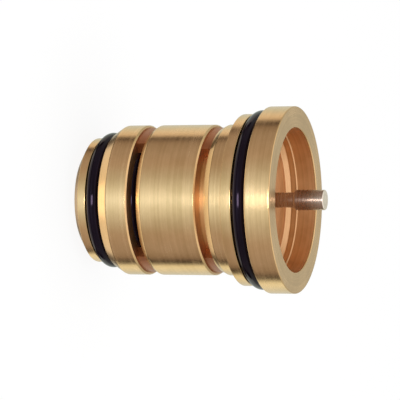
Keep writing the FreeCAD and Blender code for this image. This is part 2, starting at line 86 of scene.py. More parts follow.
def add_node(tree, kind, settings=None, inputs=None):
    """A new node. Its inputs are plain values, sockets, or nodes that give their first output.

    They come as a dictionary, or as a list when the inputs are simply taken in their order.
    """
    made = tree.nodes.new(kind)
    for name, value in (settings or {}).items():
        setattr(made, name, value)
    if isinstance(inputs, list):
        inputs = dict(enumerate(inputs))
    for name, value in (inputs or {}).items():
        if isinstance(value, bpy.types.Node):
            value = value.outputs[0]
        if isinstance(value, bpy.types.NodeSocket):
            tree.links.new(value, made.inputs[name])
        else:
            made.inputs[name].default_value = value
    return made


def empty_tree(owner):
    """The node tree of a material or a world, with nothing in it yet."""
    owner.use_nodes = True
    owner.node_tree.nodes.clear()
    return owner.node_tree


print("paint c9a46c is", [round(channel, 3) for channel in paint("c9a46c")])

# %% [markdown]
# The sleeve is bar brass turned on a lathe, so one outline spun about the axis makes all of
# it. A real lathe leaves no knife edges, and each corner has a break of about a tenth of a
# millimetre. The outline function rounds the corners that ask for it. It also keeps a point
# close to each side of a round, so that the shading of the long walls stays flat.

# %% Outline helper
ROUND_STEPS = 6
HOLD = 0.06


def round_corner(before, here, after, size):
    """Points of a round of the given radius at a corner, with a holding point on each side."""
    to_before = (before - here).normalized()
    to_after = (after - here).normalized()
    half = to_before.angle(to_after) / 2
    reach = size / math.tan(half)
    centre = here + (to_before + to_after).normalized() * (size / math.sin(half))
    start = here + to_before * reach - centre
    turn = start.angle_signed(here + to_after * reach - centre)
    points = []
    if (before - here).length > reach + HOLD:
        points.append(here + to_before * (reach + HOLD))
    for step in range(ROUND_STEPS + 1):
        points.append(centre + Matrix.Rotation(-turn * step / ROUND_STEPS, 2) @ start)
    if (after - here).length > reach + HOLD:
        points.append(here + to_after * (reach + HOLD))
    return points


def rounded(corners):
    """Closed outline in millimetres. A corner is (radius, height) or (radius, height, round)."""
    places = [Vector(corner[:2]) for corner in corners]
    points = []
    for index, corner in enumerate(corners):
        if len(corner) == 2:
            points.append(places[index])
        else:
            following = places[(index + 1) % len(corners)]
            points.extend(round_corner(places[index - 1], places[index], following, corner[2]))
    return points


SAMPLE = [(1, 0), (2, 0, 0.2), (2, 1), (1, 1)]
print("a square outline with one round corner has", len(rounded(SAMPLE)), "points")

# %% [markdown]
# The spin could be the Spin tool or a Screw modifier. Here the rings of points are laid out in
# a bmesh with one station for each degree, because the windows through the port grooves start
# and end on whole degrees. Each cell between two rings becomes a face, but not where a window
# is, and there the cut walls are added, so that the brass shows its real thickness.

# %% Turning helper
STATIONS = 360
SHARP_ANGLE = math.radians(32)
DECIMALS = 3


def ring_of_points(work, radius, height):
    """One vertex for each station, or the same vertex again for a point on the axis."""
    if radius == 0:
        return [work.verts.new((0, 0, height * MM))] * STATIONS
    points = []
    for station in range(STATIONS):
        angle = 2 * math.pi * station / STATIONS
        points.append(work.verts.new((radius * MM * math.cos(angle),
                                      radius * MM * math.sin(angle), height * MM)))
    return points


def stations_of(window):
    """The stations, one for each degree, that a window (low, high, middle, half) covers."""
    low, high, middle, half = window
    return [round(middle - half + step) % STATIONS for step in range(round(2 * half))]


def window_walls(work, points, rings, window):
    """The four cut walls of one window: below, above and at both ends."""
    low, high = window[:2]
    corner = {}
    for height in (low, high):
        level = sorted((point[0], index) for index, point in enumerate(points)
                       if abs(point[1] - height) < HOLD / STATIONS)
        corner[height] = (rings[level[0][1]], rings[level[1][1]])
    covered = stations_of(window)
    for height in (low, high):
        inner, outer = corner[height]
        for here in covered:
            after = (here + 1) % STATIONS
            work.faces.new([inner[here], inner[after], outer[after], outer[here]])
    for end in (covered[0], (covered[-1] + 1) % STATIONS):
        (low_inner, low_outer), (high_inner, high_outer) = corner[low], corner[high]
        work.faces.new([low_inner[end], low_outer[end], high_outer[end], high_inner[end]])


def spin_faces(work, points, rings, windows):
    """The faces between neighbouring rings, apart from the cells that a window opens."""
    for index, point in enumerate(points):
        following = (index + 1) % len(points)
        other = points[following]
        if point[0] == 0 and other[0] == 0:
            continue
        opened = set()
        for window in windows:
            if {round(point[1], DECIMALS), round(other[1], DECIMALS)} == {window[0], window[1]}:
                opened.update(stations_of(window))
        for station in range(STATIONS):
            if station in opened:
                continue
            after = (station + 1) % STATIONS
            corners = [rings[index][station], rings[index][after],
                       rings[following][after], rings[following][station]]
            work.faces.new(dict.fromkeys(corners))


def finished_object(name, work):
    """A mesh object from a bmesh, with normals outward and sharp edges kept sharp."""
    bmesh.ops.recalc_face_normals(work, faces=work.faces)
    open_edges = 0
    for edge in work.edges:
        two_sided = len(edge.link_faces) == 2
        open_edges += not two_sided
        edge.smooth = two_sided and edge.calc_face_angle() < SHARP_ANGLE
    for face in work.faces:
        face.smooth = True
    mesh = bpy.data.meshes.new(name)
    work.to_mesh(mesh)
    work.free()
    piece = bpy.data.objects.new(name, mesh)
    bpy.context.scene.collection.objects.link(piece)
    print(name, "faces", len(mesh.polygons), "open edges", open_edges)
    return piece


def turned(name, corners, windows=()):
    """Mesh object spun about Z from a closed outline in millimetres, with its windows."""
    work = bmesh.new()
    points = rounded(corners)
    rings = [ring_of_points(work, *point) for point in points]
    spin_faces(work, points, rings, windows)
    for window in windows:
        window_walls(work, points, rings, window)
    return finished_object(name, work)


print("a turned piece has", STATIONS, "stations round the axis")

# %% [markdown]
# Bar brass off a lathe is a warm yellow metal with a satin skin. The tool leaves rings about a
# tenth of a millimetre apart, which spread each highlight along the axis. A pixel is a fifth of
# a millimetre, so the rings are drawn four times as coarse, or they would be lost. A noise that
# knows only the distance from the axis and the height gives rings on every turned face. A
# second, cloudy noise lets the shine wander, as it does on metal that has been handled. Some
# brass has a thin dull bloom of oxide as well, and then only a share of it is bare metal.

# %% Turned metal recipe
TOOL_RING_WIDTH = 0.4 * MM
HANDLING_PATCH = 9.0 * MM
RING_SHARE = 0.6
NOISE_RANGE = (0.58, 1.02)
NOISE_ROUGHNESS = 0.6
RING_DETAIL = 2.0
CLOUD_DETAIL = 4.0


def turned_coordinates(tree):
    """Object coordinates, and a vector of distance from the axis and height."""
    place = add_node(tree, "ShaderNodeTexCoord")
    parts = add_node(tree, "ShaderNodeSeparateXYZ", None, {"Vector": place.outputs["Object"]})
    flat = add_node(tree, "ShaderNodeCombineXYZ", None,
                    {"X": parts.outputs["X"], "Y": parts.outputs["Y"]})
    reach = add_node(tree, "ShaderNodeVectorMath", {"operation": "LENGTH"},
                     {0: flat.outputs["Vector"]})
    rings = add_node(tree, "ShaderNodeCombineXYZ", None,
                     {"X": reach.outputs["Value"], "Y": parts.outputs["Z"]})
    return place.outputs["Object"], rings.outputs["Vector"]


def turned_metal(name, light, dark, low_rough, high_rough, ring_depth, bare=1.0):
    """A metal finish with tool rings and clouds. The share that isn't bare has a dull bloom."""
    material = bpy.data.materials.new(name)
    tree = empty_tree(material)
    place, rings = turned_coordinates(tree)
    lines = add_node(tree, "ShaderNodeTexNoise", {"noise_dimensions": "2D"},
                     {"Vector": rings, "Scale": 1 / TOOL_RING_WIDTH,
                      "Detail": RING_DETAIL, "Roughness": NOISE_ROUGHNESS})
    clouds = add_node(tree, "ShaderNodeTexNoise", None,
                      {"Vector": place, "Scale": 1 / HANDLING_PATCH,
                       "Detail": CLOUD_DETAIL, "Roughness": NOISE_ROUGHNESS})
    blend = add_node(tree, MATH, {"operation": "MULTIPLY_ADD"},
                     [lines.outputs["Fac"], RING_SHARE, clouds.outputs["Fac"]])
    tint = add_node(tree, "ShaderNodeValToRGB", None, {"Fac": blend.outputs["Value"]})
    for stop, place_on_ramp, colour in zip(tint.color_ramp.elements, NOISE_RANGE, (dark, light)):
        stop.position = place_on_ramp
        stop.color = paint(colour)
    shine = add_node(tree, "ShaderNodeMapRange", None,
                     {"Value": blend.outputs["Value"], "From Min": NOISE_RANGE[0],
                      "From Max": NOISE_RANGE[1], "To Min": low_rough, "To Max": high_rough})
    bump = add_node(tree, "ShaderNodeBump", None,
                    {"Height": lines.outputs["Fac"], "Strength": 1.0, "Distance": ring_depth})
    surface = add_node(tree, "ShaderNodeBsdfPrincipled", None,
                       {"Base Color": tint.outputs["Color"], "Metallic": bare,
                        "Roughness": shine.outputs["Result"], "Normal": bump.outputs["Normal"]})
    add_node(tree, "ShaderNodeOutputMaterial", None, {"Surface": surface.outputs["BSDF"]})
    return material


print("tool rings are drawn", TOOL_RING_WIDTH / MM, "mm wide")

# %% [markdown]
# The sleeve has three brass finishes. The lands and the flange are bright from the last cut. The
# recess was bored with a duller tool, and its brass, like that of the other walls inside, is
# painted rosier: painted bounce light, for the light that the walls throw on each other. The port
# floors have a darker, red brown copy of the brass, which is painted shade of the grooves. The pin
# is ground steel that has browned with use, and its cut end is still bright. Each finish has its
# two colours, its two values of roughness, the depth of its rings and its bare share.

# %% Finishes of the sleeve and the pin
TURNED_DEPTH = 0.002 * MM
GROUND_DEPTH = 0.0004 * MM
brass = turned_metal("turned brass, satin from the lathe", "dcb888", "c8a574", 0.21, 0.28,
                     TURNED_DEPTH)
# Painted bounce light: a rosier copy of the brass for the recess, the port walls, the outlet and
# the plug.
bored_brass = turned_metal("bored brass, rosy and dull", "dcb083", "be9165", 0.32, 0.42,
                           TURNED_DEPTH, 0.9)
# Painted shade: a darker, red brown copy of the brass for the port floors.
port_brass = turned_metal("pickled brass of the ports, red brown", "ac6c40", "8a4c28", 0.36,
                          0.5, TURNED_DEPTH, 0.7)
steel = turned_metal("ground steel, browned", "b8a498", "a08a7c", 0.24, 0.3, GROUND_DEPTH)
cut_steel = turned_metal("cut steel of the pin's end", "efe6da", "dccfc0", 0.3, 0.38,
                         GROUND_DEPTH)
print("finishes of the sleeve:", brass.name, "/", bored_brass.name, "/", port_brass.name)

# %% [markdown]
# Now the sleeve itself. From the back end up it has a coned collar, the groove of the rear
# O-ring, the rear land, the hot port, the long middle land, the cold port, the front land, a
# shoulder, the groove of the front O-ring and the flange with its round recess. The lands
# start with a lead-in cone, so that they don't cut the seals of the valve body, and end with
# a small bevel. The outline is in millimetres, as radius, height and the size of the round. It
# runs up the outside and back down the bore. A window has its lowest and highest place, the
# angle of its middle and half its width in degrees.

# %% Sleeve
LAND_R = 15.0
COLLAR_R = 12.5
SHOULDER_R = 17.05
FLANGE_R = 18.5
REAR_GROOVE_R = 11.0
FRONT_GROOVE_R = 15.15
PORT_R = 14.4
BORE_R = 12.0
RIM = 0.3
EDGE = 0.22
BREAK = 0.12
SOFT = 0.06
LEAD = 0.6
FACE = 43.0
FLOOR = 36.85
RECESS_R = 14.3
OUTLET_R = 9.58
MOUTH_R = 8.18
REAR_END = 11.0
HOT_PORT = (12.65, 14.5)
COLD_PORT = (26.74, 28.5)
OUTSIDE = [
    (MOUTH_R, 0.0, RIM), (10.2, 0.0, BREAK), (COLLAR_R, 1.5, BREAK), (COLLAR_R, 3.1, BREAK),
    (REAR_GROOVE_R, 3.1), (REAR_GROOVE_R, 6.3), (13.7, 6.3, BREAK), (LAND_R, 8.3, LEAD),
    (LAND_R, HOT_PORT[0] - RIM, SOFT), (LAND_R - RIM, HOT_PORT[0], SOFT),
    (PORT_R, HOT_PORT[0]), (PORT_R, HOT_PORT[1]), (LAND_R, 15.46, LEAD),
    (LAND_R, COLD_PORT[0] - RIM, SOFT), (LAND_R - RIM, COLD_PORT[0], SOFT),
    (PORT_R, COLD_PORT[0]), (PORT_R, COLD_PORT[1]), (LAND_R, 29.65, LEAD),
    (LAND_R, 32.6), (SHOULDER_R, 32.6, BREAK), (SHOULDER_R, 34.73, BREAK),
    (FRONT_GROOVE_R, 34.73), (FRONT_GROOVE_R, 37.84), (FLANGE_R, 37.84, RIM),
    (FLANGE_R, FACE, EDGE), (RECESS_R, FACE, EDGE),
]
INSIDE = [
    (RECESS_R, 39.06), (14.12, 38.88), (14.12, 37.7), (13.27, FLOOR), (13.27, 33.31),
    (BORE_R, 33.31, 0.2), (BORE_R, COLD_PORT[1]), (BORE_R, COLD_PORT[0]), (BORE_R, HOT_PORT[1]),
    (BORE_R, HOT_PORT[0]), (BORE_R, 11.55), (10.16, 11.55), (10.16, 12.55), (OUTLET_R, 12.55),
    (OUTLET_R, 3.0), (MOUTH_R, 3.0),
]
WINDOWS = [
    (*HOT_PORT, -90, 51), (*HOT_PORT, 90, 51), (*COLD_PORT, -86, 48), (*COLD_PORT, 94, 48),
]
STEEP = 0.5

sleeve = turned("sleeve_brass", OUTSIDE + INSIDE, WINDOWS)
for finish in (brass, bored_brass, port_brass):
    sleeve.data.materials.append(finish)


def finish_number(face):
    """0 for the bright lands and the flange, 1 for the walls inside (painted bounce light), 2 for
    the port floors (painted shade).
    """
    across = math.hypot(face.center.x, face.center.y) / MM
    height = face.center.z / MM
    in_port = any(low - HOLD < height < high + HOLD for low, high in (HOT_PORT, COLD_PORT))
    if in_port and across < LAND_R - RIM:
        return 1 if abs(face.normal.z) > STEEP else 2
    if height > REAR_END:
        return 1 if across < RECESS_R + HOLD and height < FACE - RIM else 0
    return 1 if across < OUTLET_R + HOLD else 0


for face in sleeve.data.polygons:
    face.material_index = finish_number(face)
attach(sleeve, "housing")
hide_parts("sleeve")

# %% [markdown]
# The pin's neck runs in the plug and its head stands in the recess, with a round shoulder
# between them and a small bevel at the tip. Only the end face has the bright finish.

# %% Pin
NECK_R = 1.5
HEAD_R = 2.0
PIN_END = 48.9
PIN_OUTLINE = [
    (0, 26.56), (NECK_R, 26.56, BREAK), (NECK_R, 42.7), (HEAD_R, 42.7, 0.45),
    (HEAD_R, PIN_END, 0.2), (0, PIN_END),
]
pin = turned("push_pin_steel", PIN_OUTLINE)
pin.data.materials.append(steel)
pin.data.materials.append(cut_steel)
for face in pin.data.polygons:
    face.material_index = 1 if face.center.z > (PIN_END - BREAK) * MM else 0
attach(pin, "pin")
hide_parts("push_pin")

# %% [markdown]
# O-rings are moulded rubber, each a round section bent into a ring. That is a rule, so
# Geometry Nodes make them: a circle for the path, a circle for the section and Curve to Mesh
# between them. One tree serves all the rings, and each ring gives it its own sizes.

# %% Ring tree
RING_STEPS = 256
SECTION_STEPS = 40
ring_tree = bpy.data.node_groups.new("rubber ring", "GeometryNodeTree")


def name_inputs(tree, sizes):
    """Give a tree its named number inputs, its material input and its geometry output."""
    for title in sizes:
        tree.interface.new_socket(title, in_out="INPUT", socket_type="NodeSocketFloat")
    tree.interface.new_socket("Finish", in_out="INPUT", socket_type="NodeSocketMaterial")
    tree.interface.new_socket("Geometry", in_out="OUTPUT", socket_type="NodeSocketGeometry")
    return add_node(tree, "NodeGroupInput")


def end_tree(tree, mesh, finish):
    """Close a tree with smooth shading, Realize Instances and Set Material."""
    smooth = add_node(tree, "GeometryNodeSetShadeSmooth", None, {"Geometry": mesh})
    real = add_node(tree, "GeometryNodeRealizeInstances", None,
                    {"Geometry": smooth.outputs["Geometry"]})
    coated = add_node(tree, "GeometryNodeSetMaterial", None,
                      {"Geometry": real.outputs["Geometry"], "Material": finish})
    add_node(tree, "NodeGroupOutput", None, {"Geometry": coated.outputs["Geometry"]})


given = name_inputs(ring_tree, ("Ring Radius", "Section Radius", "Height"))
path = add_node(ring_tree, "GeometryNodeCurvePrimitiveCircle", None,
                {"Resolution": RING_STEPS, "Radius": given.outputs["Ring Radius"]})
section = add_node(ring_tree, "GeometryNodeCurvePrimitiveCircle", None,
                   {"Resolution": SECTION_STEPS, "Radius": given.outputs["Section Radius"]})
tube = add_node(ring_tree, "GeometryNodeCurveToMesh", None,
                {"Curve": path.outputs["Curve"], "Profile Curve": section.outputs["Curve"]})
lift = add_node(ring_tree, "ShaderNodeCombineXYZ", None, {"Z": given.outputs["Height"]})
moved = add_node(ring_tree, "GeometryNodeTransform", None,
                 {"Geometry": tube.outputs["Mesh"], "Translation": lift.outputs["Vector"]})
end_tree(ring_tree, moved.outputs["Geometry"], given.outputs["Finish"])
print("the ring tree has", len(ring_tree.nodes), "nodes")

# %% [markdown]
# A spring is a wire bent along a screw line. Its last turns lie close together and are ground
# flat, so that it stands straight. The tree bends a straight line of points: each point's
# share of the length gives its turn and its height, which climbs slowly in the closed turns
# and fast between them.

# %% Spring tree
STEPS_PER_TURN = 48
WIRE_STEPS = 16
CLOSED_TURNS = 0.75
CLOSED_PITCH = 1.05
spring_tree = bpy.data.node_groups.new("coil spring", "GeometryNodeTree")
given = name_inputs(spring_tree,
                    ("Coil Radius", "Wire Radius", "Bottom", "Top", "Turns", "Points"))
wire = given.outputs["Wire Radius"]
coil = given.outputs["Coil Radius"]
turns = given.outputs["Turns"]
bottom = given.outputs["Bottom"]
top = given.outputs["Top"]
line = add_node(spring_tree, "GeometryNodeCurvePrimitiveLine")
fine = add_node(spring_tree, "GeometryNodeResampleCurve", None,
                {"Curve": line, "Count": given.outputs["Points"]})
share = add_node(spring_tree, "GeometryNodeSplineParameter").outputs["Factor"]
turn = add_node(spring_tree, MATH, {"operation": "MULTIPLY"}, [share, turns])
closed_rise = add_node(spring_tree, MATH, {"operation": "MULTIPLY"},
                       [wire, 2 * CLOSED_PITCH * CLOSED_TURNS])
both_rises = add_node(spring_tree, MATH, {"operation": "MULTIPLY"}, [closed_rise, 2.0])
open_turns = add_node(spring_tree, MATH, {"operation": "SUBTRACT"}, [turns, 2 * CLOSED_TURNS])
length = add_node(spring_tree, MATH, {"operation": "SUBTRACT"}, [top, bottom])
path_rise = add_node(spring_tree, MATH, {"operation": "SUBTRACT"}, [length, wire])
open_rise = add_node(spring_tree, MATH, {"operation": "SUBTRACT"}, [path_rise, both_rises])
height = add_node(spring_tree, MATH, {"operation": "MULTIPLY_ADD"}, [wire, 0.5, bottom])
later = add_node(spring_tree, MATH, {"operation": "SUBTRACT"}, [turn, CLOSED_TURNS])
last = add_node(spring_tree, MATH, {"operation": "SUBTRACT"}, [later, open_turns])
for start, count, rise in ((turn, CLOSED_TURNS, closed_rise), (later, open_turns, open_rise),
                           (last, CLOSED_TURNS, closed_rise)):
    climbed = add_node(spring_tree, MATH, {"operation": "DIVIDE", "use_clamp": True},
                       [start, count])
    height = add_node(spring_tree, MATH, {"operation": "MULTIPLY_ADD"}, [climbed, rise, height])
angle = add_node(spring_tree, MATH, {"operation": "MULTIPLY"}, [turn, 2 * math.pi])
sides = []
for side in ("COSINE", "SINE"):
    wave = add_node(spring_tree, MATH, {"operation": side}, [angle])
    sides.append(add_node(spring_tree, MATH, {"operation": "MULTIPLY"}, [wave, coil]))
bent = add_node(spring_tree, "ShaderNodeCombineXYZ", None, [*sides, height])
screw = add_node(spring_tree, "GeometryNodeSetPosition", None,
                 {"Geometry": fine, "Position": bent})
print("the screw line takes", len(spring_tree.nodes), "nodes")

# %% [markdown]
# A circle swept along the screw line makes the wire. Then each point of it is held between the
# bottom and the top, as if a grinding wheel had cut the two end turns flat.

# %% Spring wire
section = add_node(spring_tree, "GeometryNodeCurvePrimitiveCircle", None,
                   {"Resolution": WIRE_STEPS, "Radius": wire})
tube = add_node(spring_tree, "GeometryNodeCurveToMesh", None,
                {"Curve": screw.outputs["Geometry"], "Profile Curve": section.outputs["Curve"],
                 "Fill Caps": True})
spot = add_node(spring_tree, "ShaderNodeSeparateXYZ", None,
                {"Vector": add_node(spring_tree, "GeometryNodeInputPosition").outputs["Position"]})
held = add_node(spring_tree, "ShaderNodeClamp", None,
                {"Value": spot.outputs["Z"], "Min": bottom, "Max": top})
flat = add_node(spring_tree, "ShaderNodeCombineXYZ", None,
                {"X": spot.outputs["X"], "Y": spot.outputs["Y"], "Z": held.outputs["Result"]})
ground = add_node(spring_tree, "GeometryNodeSetPosition", None,
                  {"Geometry": tube.outputs["Mesh"], "Position": flat.outputs["Vector"]})
end_tree(spring_tree, ground.outputs["Geometry"], given.outputs["Finish"])
print("the spring tree has", len(spring_tree.nodes), "nodes")

# %% [markdown]
# A tree works through a modifier. The next function hangs it on an empty seed object, gives it its
# values by name, and keeps only the plain mesh that comes out.

# %% Growing a piece from a tree
MERGE_DISTANCE = 0.001 * MM


def grown(name, tree, values):
    """A plain mesh object from a node tree that is given its inputs by name."""
    seed = bpy.data.objects.new(name + "_seed", bpy.data.meshes.new(name + "_seed"))
    bpy.context.scene.collection.objects.link(seed)
    modifier = seed.modifiers.new("grow", "NODES")
    modifier.node_group = tree
    for item in tree.interface.items_tree:
        if item.in_out == "INPUT" and item.name in values:
            modifier[item.identifier] = values[item.name]
    bpy.context.view_layer.update()
    ready = seed.evaluated_get(bpy.context.evaluated_depsgraph_get())
    mesh = bpy.data.meshes.new_from_object(ready)
    bpy.data.objects.remove(seed)
    work = bmesh.new()
    work.from_mesh(mesh)
    bmesh.ops.remove_doubles(work, verts=work.verts, dist=MERGE_DISTANCE)
    piece = finished_object(name, work)
    piece.data.materials.append(values["Finish"])
    bpy.data.meshes.remove(mesh)
    return piece


print("points closer than", MERGE_DISTANCE / MM, "mm are merged")

# %% [markdown]
# The rubber is black nitrile with a thin film of grease, so it is almost black, with a violet
# cast, and a lamp draws a narrow line on it. The moulding leaves a fine grain.

# %% Black rubber
GRAIN = 0.12 * MM
GRAIN_DEPTH = 0.004 * MM
GRAIN_DETAIL = 2.0
GRAIN_STRENGTH = 0.5
FILM_DETAIL = 3.0
FILM_RANGE = (0.3, 0.7)
GREASED = (0.07, 0.12)
BLACKS = {0.35: "0a060b", 0.7: "120b15"}
RUBBER_SHINE = 0.16
VIOLET_CAST = "e2c4ee"
rubber = bpy.data.materials.new("moulded nitrile rubber, greased")
tree = empty_tree(rubber)
place = add_node(tree, "ShaderNodeTexCoord")
grain = add_node(tree, "ShaderNodeTexNoise", None,
                 {"Vector": place.outputs["Object"], "Scale": 1 / GRAIN,
                  "Detail": GRAIN_DETAIL})
film = add_node(tree, "ShaderNodeTexNoise", None,
                {"Vector": place.outputs["Object"], "Scale": 1 / HANDLING_PATCH,
                 "Detail": FILM_DETAIL})
tint = add_node(tree, "ShaderNodeValToRGB", None, {"Fac": film.outputs["Fac"]})
for stop, (place_on_ramp, colour) in zip(tint.color_ramp.elements, BLACKS.items()):
    stop.position = place_on_ramp
    stop.color = paint(colour)
shine = add_node(tree, "ShaderNodeMapRange", None,
                 {"Value": film.outputs["Fac"], "From Min": FILM_RANGE[0],
                  "From Max": FILM_RANGE[1], "To Min": GREASED[0], "To Max": GREASED[1]})
bump = add_node(tree, "ShaderNodeBump", None,
                {"Height": grain.outputs["Fac"], "Strength": GRAIN_STRENGTH,
                 "Distance": GRAIN_DEPTH})
surface = add_node(tree, "ShaderNodeBsdfPrincipled", None,
                   {"Base Color": tint.outputs["Color"], "Roughness": shine.outputs["Result"],
                    "Specular IOR Level": RUBBER_SHINE,
                    "Specular Tint": paint(VIOLET_CAST), "Normal": bump.outputs["Normal"]})
add_node(tree, "ShaderNodeOutputMaterial", None, {"Surface": surface.outputs["BSDF"]})
print("rubber has", len(tree.nodes), "nodes")

# %% [markdown]
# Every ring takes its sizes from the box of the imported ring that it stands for: the outer
# radius, the height of its middle and half its thickness.

# %% Rings in place
RINGS = {
    "rear_o_ring": "housing", "front_o_ring": "housing", "hot_seat_seal": "housing",
    "cold_seat_seal": "housing", "slide_o_ring": "slide", "plug_o_ring": "housing",
    "pin_seal": "housing",
}
for name, body in RINGS.items():
    low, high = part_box(name)
    half_section = (high.z - low.z) / 2
    ring = grown(name + "_rubber", ring_tree,
                 {"Ring Radius": high.x - half_section, "Section Radius": half_section,
                  "Height": (high.z + low.z) / 2, "Finish": rubber})
    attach(ring, body)
    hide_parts(name)

# %% [markdown]
# The two springs are drawn steel wire, grey with a soft shine. The table gives its body, its
# joint, its number of turns and the joint's travel.

# %% Springs in place
DRAWN_DEPTH = 0.001 * MM
spring_steel = turned_metal("drawn spring steel", "a8a5a0", "8b8782", 0.28, 0.4, DRAWN_DEPTH)
WIRE_RADIUS = 0.55 * MM
SPRINGS = {
    "return_spring": ("housing", "slide_travel", 5.5, 1.4 * MM),
    "overload_spring": ("slide", "element_overtravel", 2.75, 2.0 * MM),
}
for name, (body, joint, turns, travel) in SPRINGS.items():
    low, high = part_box(name)
    spring = grown(name + "_wire", spring_tree,
                   {"Coil Radius": high.x - WIRE_RADIUS, "Wire Radius": WIRE_RADIUS,
                    "Bottom": low.z, "Top": high.z, "Turns": turns,
                    "Points": turns * STEPS_PER_TURN + 1, "Finish": spring_steel})
    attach(spring, body)
    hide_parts(name)
    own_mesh(spring)

# %% [markdown]
# The pieces inside show only through the windows, the outlet and the recess. Their solids have
# the right shape already, so they stay as they are and get their own finishes. The wax is
# mixed with copper powder, which makes it a dull reddish brown with fine grains. The small
# disc is PTFE, a waxy and even white.

# %% Dull finishes
DULL_DETAIL = 5.0
DULL_RANGE = (0.3, 0.7)
DULL_PLACES = (0.35, 0.65)
DULL_STRENGTH = 0.4


def dull(name, light, dark, patch, low_rough, high_rough):
    """A non-metal finish with a cloudy variation of colour and shine and a fine grain."""
    material = bpy.data.materials.new(name)
    tree = empty_tree(material)
    place = add_node(tree, "ShaderNodeTexCoord")
    clouds = add_node(tree, "ShaderNodeTexNoise", None,
                      {"Vector": place.outputs["Object"], "Scale": 1 / patch,
                       "Detail": DULL_DETAIL}).outputs["Fac"]
    tint = add_node(tree, "ShaderNodeValToRGB", None, {"Fac": clouds})
    for stop, place_on_ramp, colour in zip(tint.color_ramp.elements, DULL_PLACES, (dark, light)):
        stop.position = place_on_ramp
        stop.color = paint(colour)
    shine = add_node(tree, "ShaderNodeMapRange", None,
                     {"Value": clouds, "From Min": DULL_RANGE[0], "From Max": DULL_RANGE[1],
                      "To Min": low_rough, "To Max": high_rough})
    bump = add_node(tree, "ShaderNodeBump", None,
                    {"Height": clouds, "Strength": DULL_STRENGTH, "Distance": GRAIN_DEPTH})
    surface = add_node(tree, "ShaderNodeBsdfPrincipled", None,
                       {"Base Color": tint.outputs["Color"], "Roughness": shine.outputs["Result"],
                        "Normal": bump.outputs["Normal"]})
    add_node(tree, "ShaderNodeOutputMaterial", None, {"Surface": surface})
    return material


WAX_PATCH = 0.6 * MM
PLASTIC_PATCH = 1.5 * MM
wax = dull("wax filled with copper powder", "a86b48", "8a5236", WAX_PATCH, 0.5, 0.7)
white_plastic = dull("turned PTFE, waxy white", "ecebe6", "deddd8", PLASTIC_PATCH, 0.4, 0.55)
print("dull finishes:", wax.name, "/", white_plastic.name)

# %% [markdown]
# The slide, the carrier, the guide and the bush are turned brass painted rosy: painted bounce
# light from the brass walls round them. The cup is drawn copper, pink with a soft sheen. The plug
# has the finish of the recess, whose floor it makes, with its painted rosy bounce light.

# %% Finishes of the carried nodes
copper = turned_metal("drawn copper", "d69a78", "b97a5a", 0.3, 0.42, DRAWN_DEPTH)
# Painted bounce light: a rosy copy of the brass for the slide, the carrier, the guide and the
# bush.
slide_brass = turned_metal("turned brass of the slide, rosy", "dcaa74", "c28e56", 0.34, 0.46,
                           TURNED_DEPTH, 0.85)
FINISHES = {
    "front_plug": bored_brass, "regulating_slide": slide_brass,
    "carrier_retaining_ring": spring_steel, "element_carrier": slide_brass,
    "element_cup": copper, "wax_charge": wax, "element_diaphragm": rubber,
    "element_guide": slide_brass, "pressure_plug": rubber,
    "anti_extrusion_disc": white_plastic, "pin_bush": slide_brass,
}
for name, finish in FINISHES.items():
    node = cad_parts[name]
    node.data.materials.clear()
    node.data.materials.append(finish)
print("carried nodes with a finish:", len(FINISHES))

# %% [markdown]
# The picture looks along the axis from the side, a little from the pin's end, with the axis
# level across the frame. The camera is turned a quarter round its own view line for that.

# %% Camera
PICTURE_HALF = 200
VIEW_DISTANCE_PIXELS = 2500
VIEW_DISTANCE = 499.25 * MM
VIEW_RISE = math.radians(18.7)
AIM_HEIGHT = 22.9 * MM
CLIP_START = 0.01
lens = bpy.data.cameras.new("view")
lens.angle = 2 * math.atan(PICTURE_HALF / VIEW_DISTANCE_PIXELS)
lens.clip_start = CLIP_START
camera = bpy.data.objects.new("camera", lens)
back = Vector((0, -math.cos(VIEW_RISE), math.sin(VIEW_RISE)))
right = Vector((0, math.sin(VIEW_RISE), math.cos(VIEW_RISE)))
spot = Vector((0, 0, AIM_HEIGHT)) + back * VIEW_DISTANCE
turned_axes = Matrix((right, back.cross(right), back)).transposed().to_4x4()
camera.matrix_world = Matrix.Translation(spot) @ turned_axes
scene = bpy.context.scene
scene.collection.objects.link(camera)
scene.camera = camera
print("camera at", [round(v, 3) for v in spot])

# %% [markdown]
# The floor is a plain white sheet. What the camera sees of it is mostly a white of its own, so
# the picture stays pale without more light on the brass. The rest of it is lit by the lamp, so
# the object keeps a faint shadow.

# %% Floor
FLOOR_HALF = 3.0
FLOOR_DROP = 0.1 * MM
FLOOR_OWN_WHITE = 0.9


def seen_directly(tree):
    """1 for a ray of the camera, a reflection or a refraction, and 0 for scattered light."""
    ray = add_node(tree, "ShaderNodeLightPath")
    seen = add_node(tree, MATH, {"operation": "MAXIMUM"},
                    [ray.outputs["Is Camera Ray"], ray.outputs["Is Glossy Ray"]])
    return add_node(tree, MATH, {"operation": "MAXIMUM"},
                    [seen, ray.outputs["Is Transmission Ray"]])


work = bmesh.new()
bmesh.ops.create_grid(work, x_segments=1, y_segments=1, size=FLOOR_HALF)
sheet = bpy.data.meshes.new("floor")
work.to_mesh(sheet)
work.free()
floor = bpy.data.objects.new("floor", sheet)
floor.location.z = -FLOOR_DROP
scene.collection.objects.link(floor)
paper = bpy.data.materials.new("white paper floor")
tree = empty_tree(paper)
share = add_node(tree, MATH, {"operation": "MULTIPLY"}, [seen_directly(tree), FLOOR_OWN_WHITE])
matt = add_node(tree, "ShaderNodeBsdfDiffuse", None, {"Color": paint("f4f4f4")})
own = add_node(tree, "ShaderNodeEmission", None, {"Color": paint("ffffff"), "Strength": 1.0})
mixed = add_node(tree, "ShaderNodeMixShader", None,
                 {"Fac": share, 1: matt.outputs["BSDF"], 2: own.outputs["Emission"]})
add_node(tree, "ShaderNodeOutputMaterial", None, {"Surface": mixed.outputs["Shader"]})
sheet.materials.append(paper)
print("the floor's own white is", FLOOR_OWN_WHITE)

# %% [markdown]
# The world is plain white for the camera too, and gives the part half as much light.

